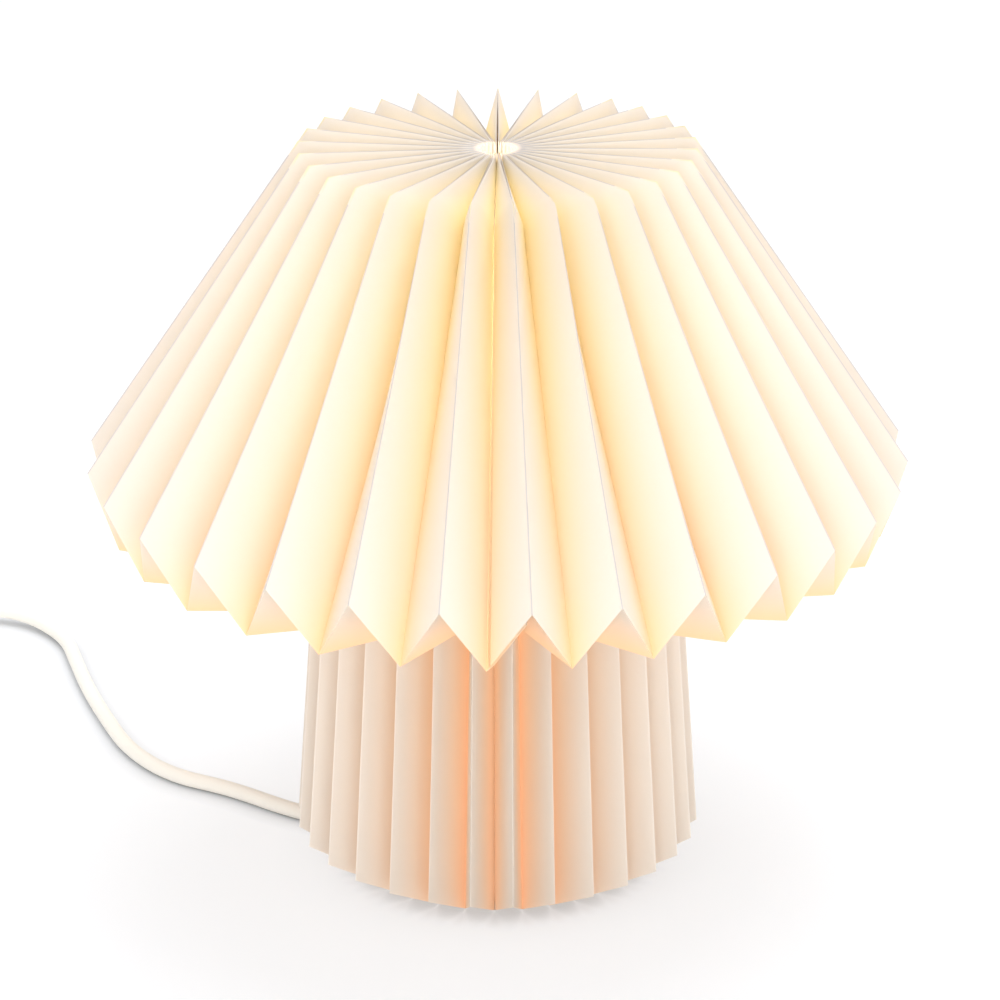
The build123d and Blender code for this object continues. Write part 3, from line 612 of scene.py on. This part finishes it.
@dataclass
class Studio:
    """Camera, floor, world and lamps."""

    focal_px: float = 3616.4
    image_px: float = 1000.0
    sensor_mm: float = 36.0
    centre_px: float = 497.3  # column of the photograph in which the lamp's axis stands
    eye: Point = (0.0, -1235.5, 654.8)
    tilt: float = 22.46  # degrees that the camera looks down
    floor_side: float = 20.0  # metres
    floor_bounce: str = "#F0F1F3"  # of the floor as it lights the lamp from below
    floor_colour: str = "#9C9EA2"  # of the floor as it is seen, before its lift
    floor_lift: float = 0.65  # brings the seen floor up to white, away from the lamp
    shade_reach: float = 9.0  # how far from the lamp the painted contact shadow reaches, as it dims the floor's lift
    shade_samples: int = 16
    world_light: float = 0.81
    backdrop: float = 1.0  # white behind the lamp
    lamps: tuple[SoftLamp, ...] = (
        SoftLamp("key", (-0.9, -1.6, 1.5), (0, 0, 0.15), 1.2, 4.0),
        SoftLamp("low_fill", (0.1, -1.7, 0.3), (0, 0, 0.06), 1.0, 11.7),
        SoftLamp("top", (0.2, 0.3, 1.9), (0, 0, 0.1), 1.4, 22.0),
    )

    def camera(self) -> bpy.types.Object:
        """Place the camera at the photograph's viewing angle.

        Returns:
            The camera.
        """
        data = bpy.data.cameras.new("camera")
        data.sensor_width = self.sensor_mm
        data.lens = self.focal_px / self.image_px * self.sensor_mm
        data.shift_x = (self.image_px / 2 - self.centre_px) / self.image_px
        camera = bpy.data.objects.new("camera", data)
        camera.location = Vector(self.eye) * MM
        camera.rotation_euler = (math.radians(90 - self.tilt), 0, 0)
        bpy.context.scene.collection.objects.link(camera)
        bpy.context.scene.camera = camera
        LOG.info("camera: %.1f mm lens", data.lens)
        return camera

    def floor_paint(self) -> bpy.types.Material:
        """Mix the white of the floor, which keeps the lamp's real shadow and adds a painted contact
        shadow.

        Returns:
            The floor's material.
        """
        graph = NodeGraph(bpy.data.materials.new("studio_floor"))
        ray = graph.add("ShaderNodeLightPath")
        bounced = graph.add("ShaderNodeBsdfDiffuse", Color=linear(self.floor_bounce))
        shaded = graph.add("ShaderNodeBsdfDiffuse", Color=linear(self.floor_colour))
        samples, reach = {"samples": self.shade_samples}, self.shade_reach * MM
        # painted shadow: ambient occlusion dims the floor's lift near the lamp
        clear = graph.add("ShaderNodeAmbientOcclusion", samples, Distance=reach).outputs["AO"]
        product = {"operation": "MULTIPLY"}
        level = graph.add("ShaderNodeMath", product, _0=clear, _1=self.floor_lift)
        lift = graph.add("ShaderNodeEmission", Color=linear(WHITE), Strength=level)
        shown = graph.add("ShaderNodeAddShader", _0=shaded, _1=lift)
        to_camera, glossy = ray.outputs["Is Camera Ray"], ray.outputs["Is Glossy Ray"]
        seen = graph.add("ShaderNodeMath", {"operation": "MAXIMUM"}, _0=to_camera, _1=glossy)
        return graph.finish(graph.add("ShaderNodeMixShader", _0=seen, _1=bounced, _2=shown))

    def floor(self) -> bpy.types.Object:
        """Lay the floor.

        Returns:
            The floor.
        """
        mesh = bpy.data.meshes.new("floor")
        half = self.floor_side / 2
        corners = [(-half, -half, 0), (half, -half, 0), (half, half, 0), (-half, half, 0)]
        mesh.from_pydata(corners, [], [(0, 1, 2, 3)])
        mesh.materials.append(self.floor_paint())
        floor = bpy.data.objects.new("floor", mesh)
        bpy.context.scene.collection.objects.link(floor)
        LOG.info("floor: %.0f m a side", self.floor_side)
        return floor

    def world(self) -> None:
        """Surround the lamp with soft white light, and show white behind it."""
        world = bpy.data.worlds.new("studio")
        bpy.context.scene.world = world
        graph = NodeGraph(world)
        ray = graph.add("ShaderNodeLightPath").outputs["Is Camera Ray"]
        white = linear(WHITE)
        light = graph.add("ShaderNodeBackground", Color=white, Strength=self.world_light)
        back = graph.add("ShaderNodeBackground", Color=white, Strength=self.backdrop)
        sky = graph.add("ShaderNodeMixShader", _0=ray, _1=light, _2=back)
        graph.add("ShaderNodeOutputWorld", Surface=sky)

    def build(self) -> None:
        """Set up the studio and the plain view transform."""
        self.camera()
        self.floor()
        self.world()
        for lamp in self.lamps:
            lamp.hang()
        bpy.context.scene.view_settings.view_transform = "Standard"


# ---------------------------------------------------------------- pleated paper
def on_azimuth(azimuth: float, radius: float, height: float) -> np.ndarray:
    """Find a point from its place round the lamp.

    Args:
        azimuth: Degrees from the front towards +X.
        radius: Distance from the lamp's axis.
        height: Height over the floor.

    Returns:
        The point.
    """
    angle = math.radians(azimuth)
    return np.array([radius * math.sin(angle), -radius * math.cos(angle), height])


class FoldedMesh:
    """Mesh of one sheet, whose panels share the vertices along their folds.

    Each vertex keeps how near it lies to an inner fold, as valley, and whether it is on the glue
    flap, as glued.
    """

    weld_decimals: int = 3  # of a millimetre, within which two vertices are one

    def __init__(self, sink_share: float) -> None:
        """Start an empty mesh.

        Args:
            sink_share: Share of a panel's width over which a flap goes under the next sheet.
        """
        self.sink_share = sink_share
        self.sink = np.zeros(3)  # how far the panel in hand lies under the next sheet
        self.shape = bmesh.new()
        self.valley = self.shape.verts.layers.float.new("valley")
        self.glued = self.shape.verts.layers.float.new("glued")
        self.known: dict[tuple, bmesh.types.BMVert] = {}

    def vertex(self, point: np.ndarray, nearness: float) -> bmesh.types.BMVert:
        """Find the vertex at a point, or make it.

        Args:
            point: Its place.
            nearness: How near it is to an inner fold, from 0 to 1.

        Returns:
            The vertex.
        """
        key = tuple(np.round(point, self.weld_decimals))
        if key not in self.known:
            vertex = self.shape.verts.new(tuple(point * MM))
            vertex[self.valley] = nearness
            vertex[self.glued] = float(self.sink.any())
            self.known[key] = vertex
        return self.known[key]

    def patch(
        self,
        corners: Sequence[np.ndarray],
        columns: Sequence[float],
        rows: int,
        bow: float,
        flip: bool,
    ) -> None:
        """Fill the four-sided stretch between two folds with a bowed grid.

        Args:
            corners: Its upper two corners, from the inner fold to the outer, and the two below in
                the other order.
            columns: Places of the columns, as shares of the way from the inner fold to the outer.
            rows: Number of rows.
            bow: Height of the bow in its middle.
            flip: Whether the faces are turned the other way.
        """
        upper_inner, upper_outer, lower_outer, lower_inner = corners
        normal = np.cross(lower_outer - upper_inner, upper_outer - lower_inner)
        normal = normal / np.linalg.norm(normal)
        grid = []
        for row in range(rows + 1):
            down = row / rows
            start = upper_inner * (1 - down) + lower_inner * down
            end = upper_outer * (1 - down) + lower_outer * down
            line = []
            for across in columns:
                lift = bow * math.sin(math.pi * across) * math.sin(math.pi * down)
                place = start * (1 - across) + end * across + normal * lift
                place = place + self.sink * min(1.0, across / self.sink_share)
                line.append(self.vertex(place, 1 - across))
            grid.append(line)
        for upper, lower in zip(grid, grid[1:]):
            for i in range(len(columns) - 1):
                ring = [upper[i], lower[i], lower[i + 1], upper[i + 1]]
                ring = [v for k, v in enumerate(ring) if v is not ring[k - 1]]
                if len(ring) > 2:
                    self.shape.faces.new(ring[::-1] if flip else ring)

    def to_mesh(self, name: str) -> bpy.types.Mesh:
        """Turn the folded shape into a mesh, and let go of it.

        Args:
            name: Name of the mesh.

        Returns:
            The mesh.
        """
        mesh = bpy.data.meshes.new(name)
        self.shape.to_mesh(mesh)
        self.shape.free()
        return mesh


@dataclass
class PaperBody:
    """The two reverse-folded sheets, from the top hole to the turned-in hem.

    The corners of the outer folds are given, and those of the inner folds follow from them. Folds
    are numbered round the lamp from the front towards +X: even ones are inner folds and odd ones
    are outer folds. A panel has the number of its first fold.
    """

    pleats: int = 30
    panel_width: float = 26.0
    paper: float = 0.3
    fold_phase: float = -3.9  # azimuth of fold 0 in degrees
    fold_drift: float = 2.7  # degrees by which the folds' spacing drifts round the lamp
    fold_drift_phase: float = 120.0
    rim: Corner = (150.0, 165.0)
    top: Corner = (71.0, 281.0)
    hole_radius: float = 7.0
    hole_dish: float = 1.5  # how far the ridges fall towards the hole
    valley_dip: float = 4.0  # how far the inner folds lie under them there
    sunk_depth: float = 19.0  # how far the outer folds are sunk there
    ridge_share: float = 0.55  # of the way from the outer fold to the inner one
    under_slope: float = 14.0  # degrees from the level, under the rim
    waist_radius: float = 66.6
    foot_radius: float = 76.2
    foot_lift: float = 0.8
    hem_slope: float = 33.5  # degrees from the level
    hem_length: float = 19.5
    seam_setback: float = 2.0
    flap_setback: float = 4.5
    seam_glue: float = 0.8
    sink_share: float = 0.1
    bow: float = 0.8
    bow_least: float = 0.4  # share of the bow that every panel has
    bow_change: float = 0.6  # share that differs from panel to panel
    bow_step: float = 0.73  # way through the noise from one panel to the next
    sharp_angle: float = 25.0
    corner_rounds: int = 8  # of the search for an inner corner, more than it needs
    foot_rounds: int = 4  # of the search for the foot's height
    across: int = 8
    rows: dict[Ring, int] = field(
        default_factory=lambda: {
            Ring.HOLE: 9,
            Ring.TOP: 22,
            Ring.RIM: 12,
            Ring.WAIST: 14,
            Ring.FOOT: 3,
        }
    )
    lead_fold: int = -17  # the lead leaves under this outer fold

    def __post_init__(self) -> None:
        """Work out the corners of the folds."""
        self.outer_corners, self.inner_corners = self.profiles()

    def fold_azimuth(self, fold: int) -> float:
        """Azimuth of a fold in degrees."""
        even = self.fold_phase + 180 / self.pleats * fold
        return even + self.fold_drift * math.sin(math.radians(even + self.fold_drift_phase))

    def inner_corner(
        self, corner: Corner, arriving: np.ndarray, leaving: np.ndarray, turn: Turn
    ) -> Corner:
        """Find the corner of an inner fold beside a corner of the outer folds.

        Args:
            corner: The outer folds' corner.
            arriving: Direction of the outer fold before the corner.
            leaving: Its direction after the corner.
            turn: Where the inner folds lie beside the arriving stretch.

        Returns:
            The inner folds' corner.
        """
        square = turn.value * np.array([arriving[1], -arriving[0]])
        bend = arriving - leaving
        crease = np.array([-bend[1], bend[0]]) if math.hypot(*bend) > 0 else square
        crease = crease / math.hypot(*crease)
        crease = crease * math.copysign(1, crease @ square)
        spread = math.tan(math.pi / self.pleats)
        point = np.array(corner, dtype=float)
        for _ in range(self.corner_rounds):
            depth = math.sqrt(self.panel_width**2 - (point[0] * spread) ** 2)
            point = np.array(corner) + crease * depth / (crease @ square)
        return point[0] / math.cos(math.pi / self.pleats), point[1]

    def profiles(self) -> tuple[dict[Ring, Corner], dict[Ring, Corner]]:
        """Work out the corners of the folds.

        Returns:
            The outer folds' and the inner folds' corners.
        """
        under, rise = math.radians(self.under_slope), math.radians(self.hem_slope)
        leave_rim = np.array([-math.cos(under), -math.sin(under)])
        leave_foot = np.array([-math.cos(rise), math.sin(rise)])
        drop = (self.rim[0] - self.waist_radius) * math.tan(under)
        waist = (self.waist_radius, self.rim[1] - drop)

        def towards(a: Sequence[float], b: Sequence[float]) -> np.ndarray:
            """Unit vector from a to b."""
            return (np.array(b) - np.array(a)) / math.dist(a, b)

        foot_height = 0.0
        for _ in range(self.foot_rounds):
            foot = (self.foot_radius, foot_height)
            low = self.inner_corner(foot, towards(waist, foot), leave_foot, Turn.CLOCKWISE)
            foot_height += self.foot_lift - low[1]
        cone, column = towards(self.top, self.rim), towards(waist, foot)
        inner_foot = self.inner_corner(foot, column, leave_foot, Turn.CLOCKWISE)
        crossed = (np.array(inner_foot) - np.array(foot)) @ column
        hole_top = self.top[1] - self.hole_dish
        outer = {
            Ring.HOLE: (self.hole_radius, hole_top - self.sunk_depth),
            Ring.TOP: self.top,
            Ring.RIM: self.rim,
            Ring.WAIST: waist,
            Ring.FOOT: foot,
            Ring.HEM: tuple(np.array(foot) + leave_foot * self.hem_length),
            Ring.RIDGE: (self.hole_radius, hole_top),
        }
        inner = {
            Ring.HOLE: (self.hole_radius, hole_top - self.valley_dip),
            Ring.TOP: self.inner_corner(self.top, cone, cone, Turn.CLOCKWISE),
            Ring.RIM: self.inner_corner(self.rim, cone, leave_rim, Turn.CLOCKWISE),
            Ring.WAIST: self.inner_corner(waist, leave_rim, column, Turn.ANTICLOCKWISE),
            Ring.FOOT: inner_foot,
            Ring.HEM: tuple(np.array(inner_foot) + leave_foot * (self.hem_length - crossed)),
        }
        return outer, inner

    def corner(self, fold: int, ring: Ring) -> np.ndarray:
        """Corner of a fold on a ring."""
        corners = self.outer_corners if fold % 2 else self.inner_corners
        return on_azimuth(self.fold_azimuth(fold), *corners[ring])

    def flap_sink(self, inner: int, outer: int) -> np.ndarray:
        """Work out how far a glue flap lies under the next sheet.

        Args:
            inner: The flap's inner fold.
            outer: Its outer fold.

        Returns:
            The way from the next sheet to the flap.
        """
        rim = self.corner(outer, Ring.RIM)
        across = rim - self.corner(inner, Ring.RIM)
        sink = np.cross(across, self.corner(outer, Ring.TOP) - rim)
        sink = sink / np.linalg.norm(sink) * (self.paper + self.seam_glue)
        return sink if sink @ self.corner(inner, Ring.RIM) < 0 else -sink

    def add_panel(self, folded: FoldedMesh, panel: int, first: int, last: int) -> None:
        """Add one panel to a sheet.

        Args:
            folded: Mesh of the sheet.
            panel: Number of the panel.
            first: The sheet's first panel, which is set back from its outer neighbour.
            last: Its last panel, which is the glue flap and ends short of the hole and the hem.
        """
        inner, outer = (panel + 1, panel) if panel % 2 else (panel, panel + 1)
        flap, flip = panel == last, bool(panel % 2)
        low = self.seam_setback / self.panel_width if panel == first else 0.0
        high = 1 - self.flap_setback / self.panel_width if flap else 1.0
        steps = [(1 - math.cos(math.pi * k / self.across)) / 2 for k in range(self.across + 1)]
        columns = [low + (high - low) * step for step in steps]
        folded.sink = self.flap_sink(inner, outer) if flap else np.zeros(3)
        if not flap:
            self.add_roof(folded, inner, outer, columns, flip)
        rings = [Ring.TOP, Ring.RIM, Ring.WAIST, Ring.FOOT] + ([] if flap else [Ring.HEM])
        wave = noise.noise(Vector((panel * self.bow_step, 0.0, 0.0)))
        bow = self.bow * (self.bow_least + self.bow_change * wave)
        for start, end in zip(rings, rings[1:]):
            sides = [self.corner(inner, start), self.corner(outer, start)]
            sides += [self.corner(outer, end), self.corner(inner, end)]
            folded.patch(sides, columns, self.rows[start], bow, flip)

    def add_roof(
        self, folded: FoldedMesh, inner: int, outer: int, columns: Sequence[float], flip: bool
    ) -> None:
        """Add a panel's stretch over the top: its roof, and the leaf that the sunk fold turns down.

        Args:
            folded: Mesh of the sheet.
            inner: The panel's inner fold.
            outer: Its outer fold.
            columns: Places of the panel's columns.
            flip: Whether the roof's faces are turned the other way.
        """
        from_outer, from_inner = 1 - self.ridge_share, self.ridge_share
        azimuth = from_outer * self.fold_azimuth(outer) + from_inner * self.fold_azimuth(inner)
        ridge = on_azimuth(azimuth, *self.outer_corners[Ring.RIDGE])
        rows, peak = self.rows[Ring.HOLE], self.corner(outer, Ring.TOP)
        leaf = [self.corner(outer, Ring.HOLE), ridge, peak, peak]
        folded.patch(leaf, [0, 0.5, 1], rows, 0.0, not flip)
        roof = [self.corner(inner, Ring.HOLE), ridge, peak, self.corner(inner, Ring.TOP)]
        folded.patch(roof, columns, rows, 0.0, flip)

    def sheet(self, name: str, first: int, last: int) -> bpy.types.Object:
        """Fold one sheet.

        Args:
            name: Name of the piece.
            first: Its first panel.
            last: Its last panel.

        Returns:
            The sheet as a thin solid.
        """
        folded = FoldedMesh(self.sink_share)
        for panel in range(first, last + 1):
            self.add_panel(folded, panel, first, last)
        mesh = folded.to_mesh(name)
        for face in mesh.polygons:
            face.use_smooth = True
        mesh.set_sharp_from_angle(angle=math.radians(self.sharp_angle))
        piece = bpy.data.objects.new(name, mesh)
        bpy.context.scene.collection.objects.link(piece)
        thick = piece.modifiers.new("thickness", "SOLIDIFY")
        thick.thickness = self.paper * MM
        thick.offset = 0
        return piece

    def build(self) -> None:
        """Fold both sheets and set them on their body."""
        finish = MachineMadePaper().make()
        for side, first in (("right", 0), ("left", self.pleats)):
            piece = self.sheet(f"pleated_sheet_{side}", first, first + self.pleats)
            piece.data.materials.append(finish)
            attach(piece, Body.PAPER.value)
            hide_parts(f"paper_{side}")
            LOG.info("%s: %d faces", piece.name, len(piece.data.polygons))


# ---------------------------------------------------------------- lead
@dataclass
class Lead:
    """The lead as it lies: over the floor to the in-line switch, through its coil and to the plug.

    The corners of its route are those of the construction, and the smooth line runs inside them.
    """

    exit_azimuth: float  # in degrees, from the front towards +X
    radius: float = 3.0
    floor_gap: float = 0.05
    base_radius: float = 43.3
    exit_height: float = 4.9
    exit_fall: float = 3.5  # degrees
    relief: float = 22.0  # length of the strain relief
    straight_on: float = 8.0  # past the strain relief
    route: tuple[tuple[float, float], ...] = (
        (-84.0, 26.5),
        (-106.0, 43.0),
        (-130.0, 54.0),
        (-149.0, 77.0),
        (-161.0, 106.0),
        (-171.0, 133.0),
        (-179.0, 160.0),
        (-186.5, 187.0),
    )
    switch_middle: tuple[float, float] = (-267.5, 209.0)
    switch_length: float = 62.0
    entry_height: float = 6.5  # of the lead as it enters the switch
    inlet_run: float = 28.0
    inlet_fall: float = 1.5
    outlet_turns: tuple[float, ...] = (0.0, 30.0, 60.0)  # degrees, from the switch to the coil
    coil_middle: tuple[float, float] = (-296.0, 134.0)
    coil_outer: float = 45.0
    coil_step: float = 6.6
    coil_turns: int = 6
    climb_turns: float = 0.5  # over which the coil climbs to its upper layer
    turn_points: int = 14
    tie: float = 0.8  # thickness of the tie under the coil
    plug_rear: Point = (-341.0, 84.0, 6.95)
    length: float = 1820.0
    spline_order: int = 3
    round_steps: int = 5
    run_steps: int = 6

    def relief_point(self, distance: float) -> np.ndarray:
        """Find a point on the axis of the strain relief.

        Args:
            distance: How far it is out from the wall of the base.

        Returns:
            The point.
        """
        fall = math.radians(self.exit_fall)
        out = self.base_radius + distance * math.cos(fall)
        return on_azimuth(self.exit_azimuth, out, self.exit_height - distance * math.sin(fall))

    def to_coil(self, start: np.ndarray, floor: float) -> list[np.ndarray]:
        """Bring the lead from the switch down to the floor and round towards the coil.

        Args:
            start: Where it leaves the switch.
            floor: Height of its axis on the floor.

        Returns:
            The corners of that stretch, without its start.
        """
        headings = [math.radians(turn) for turn in self.outlet_turns]
        side = self.coil_middle[0] - self.coil_outer
        run = (start[0] - side) / sum(math.cos(heading) for heading in headings)
        fall = (self.entry_height - floor) / len(headings)
        corners = [start]
        for heading in headings:
            step = (-run * math.cos(heading), -run * math.sin(heading), -fall)
            corners.append(corners[-1] + step)
        return corners[1:]

    def coil(self, low: float) -> list[np.ndarray]:
        """Lay the coil: in below, up half way round its tightest turn and out above.

        Args:
            low: Height of the lower layer.

        Returns:
            The corners of its turns.
        """
        half = self.coil_turns / 2
        corners = []
        for step in range(1, self.coil_turns * self.turn_points):
            turn = step / self.turn_points
            across = self.coil_outer - self.coil_step * (half - abs(turn - half))
            across /= math.cos(math.pi / self.turn_points)  # the line runs inside its corners
            climb = min(max((turn - half) / self.climb_turns + 0.5, 0.0), 1.0)
            angle = math.pi + 2 * math.pi * turn
            x = self.coil_middle[0] + across * math.cos(angle)
            y = self.coil_middle[1] + across * math.sin(angle)
            corners.append(np.array([x, y, low + self.coil_step * climb]))
        return corners

    def to_plug(self, high: float) -> list[np.ndarray]:
        """Bring the lead from the coil to the plug.

        Args:
            high: Height of the coil's upper layer.

        Returns:
            The corners of that stretch.
        """
        rear = np.array(self.plug_rear)
        side = self.coil_middle[0] - self.coil_outer
        third = (self.coil_middle[1] - 2 * self.radius - rear[1]) / 3
        return [
            np.array([side, rear[1] + 3 * third, high]),
            np.array([side, rear[1] + 2 * third, high]),
            rear + (0, third, 0),
            rear,
        ]

    def corners(self) -> list[np.ndarray]:
        """Put the whole route together.

        Returns:
            Its corners from the strain relief to the plug.
        """
        floor = self.radius + self.floor_gap
        corners = [self.relief_point(self.relief + run) for run in (0.0, self.straight_on)]
        corners += [np.array([x, y, floor]) for x, y in self.route]
        x, y = self.switch_middle
        inlet = np.array([x + self.switch_length / 2, y, self.entry_height])
        outlet = inlet - (self.switch_length, 0, 0)
        corners += [inlet + (self.inlet_run, 0, -self.inlet_fall), inlet, outlet]
        corners += self.to_coil(outlet, floor)
        low = floor + self.tie
        side, middle = self.coil_middle[0] - self.coil_outer, self.coil_middle[1]
        corners.append(np.array([side, middle + 2 * self.radius, low]))
        return corners + self.coil(low) + self.to_plug(low + self.coil_step)

    def build(self) -> bpy.types.Object:
        """Lay the lead as one smooth line.

        Returns:
            The lead.
        """
        corners = self.corners()
        curve = bpy.data.curves.new("lead", "CURVE")
        curve.dimensions = "3D"
        curve.bevel_depth = self.radius * MM
        curve.bevel_resolution = self.round_steps
        curve.use_fill_caps = True
        line = curve.splines.new("NURBS")
        line.points.add(len(corners) - 1)
        for point, corner in zip(line.points, corners):
            point.co = (*(corner * MM), 1.0)
        line.order_u = self.spline_order
        line.use_endpoint_u = True
        line.resolution_u = self.run_steps
        curve.materials.append(ExtrudedSheath().make())
        lead = bpy.data.objects.new("lead", curve)
        bpy.context.scene.collection.objects.link(lead)
        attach(lead, Body.BASE.value)
        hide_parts("supply_cord", "switch_cord", "cord_coil", "plug_cord")
        LOG.info("lead: %d corners", len(corners))
        return lead


# ---------------------------------------------------------------- dressing of the construction
def dress(material: bpy.types.Material, *nodes: str) -> None:
    """Give construction nodes their finish.

    Args:
        material: The finish.
        *nodes: Names of the nodes.
    """
    for node in nodes:
        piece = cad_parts[node]
        piece.data.materials.clear()
        piece.data.materials.append(material)
        LOG.info("%s: %s", node, material.name)


def dress_construction() -> None:
    """Give every construction node that shows the finish of its real material."""
    dress(LitOpalGlass().make(), "bulb_envelope")

    # nickel on drawn brass: a warm grey metal, nearly bright
    nickel = WorkedMetal("nickel_plated_brass", "#C9C4BA", 0.28)
    dress(nickel.make(), "bulb_cap", "bulb_tip", "plug_pins")

    # moulded PBT: a clean, cool white, smoother than the fittings of the lead
    pbt = MouldedSolid("pbt_white_moulded", "#F3F1EB", 0.38)
    dress(pbt.make(), "bulb_collar", "holder_cap", "holder_skirt")

    # pressed black glass: almost a mirror, with slow waves from the press
    waves = Relief(size_mm=2.0, depth_mm=0.05, strength=0.02, detail=3.0)
    black_glass = MouldedSolid("glass_black_pressed", "#101014", 0.12, waves)
    dress(black_glass.make(), "bulb_insulator")

    # unglazed steatite: chalky and cream, with a rough fired skin
    fired_skin = Relief(size_mm=0.3, depth_mm=0.05, strength=0.2, detail=3.0)
    steatite = MouldedSolid("steatite_unglazed", "#E8E2D6", 0.7, fired_skin)
    dress(steatite.make(), "holder_insulator")

    # stamped brass: yellow and satin
    brass = WorkedMetal("brass_stamped", "#C8A15C", 0.3)
    dress(brass.make(), "holder_screw_contact", "holder_centre_contact")

    # zinc plate: bluish grey and a little cloudy on the stem, brighter on the screws
    zinc = WorkedMetal("steel_zinc_plated", "#B9BABB", 0.36)
    dress(zinc.make(), "stem_tube", "stem_nuts", "stem_washer")
    bright_zinc = WorkedMetal("steel_screws_zinc", "#BDBBB4", 0.32)
    dress(bright_zinc.make(), "holder_terminal_screws", "switch_screws")

    # fused powder on the pressed cover, and a smoother dipped epoxy on the welded wire
    dress(PowderCoat("steel_powder_coated", "#EFEDE6").make(), "base_cover")
    dress(PowderCoat("wire_epoxy_dipped", "#EEEBE2", 0.35).make(), "waist_carrier")

    # raw sawn steel: dark and dull, with coarse marks
    saw_marks = Relief(size_mm=1.2, depth_mm=0.03, strength=0.1, detail=3.0)
    raw_steel = WorkedMetal("steel_weight_raw", "#6E6C69", 0.5, saw_marks)
    dress(raw_steel.make(), "base_weight")
    dress(ClosedCellFoam().make(), "base_pad")

    # moulded soft PVC: warm off-white and satin, close to the lead's own sheath
    fittings = MouldedSolid("pvc_fittings_moulded", "#EFEBE2", 0.45).make()
    dress(fittings, "switch_lower", "switch_upper", "switch_rocker")
    dress(fittings, "plug_body", "strain_relief", "coil_tie")
    dress(ExtrudedSheath("pvc_inner_lead", "#E9E5DB").make(), "inner_lead")


def main() -> None:
    """Build the studio and every piece in order."""
    logging.basicConfig(level=logging.INFO, format="%(name)s %(message)s")
    paper = PaperBody()
    Studio().build()
    Lead(paper.fold_azimuth(paper.lead_fold)).build()
    paper.build()
    dress_construction()


if __name__ == "__main__":
    main()
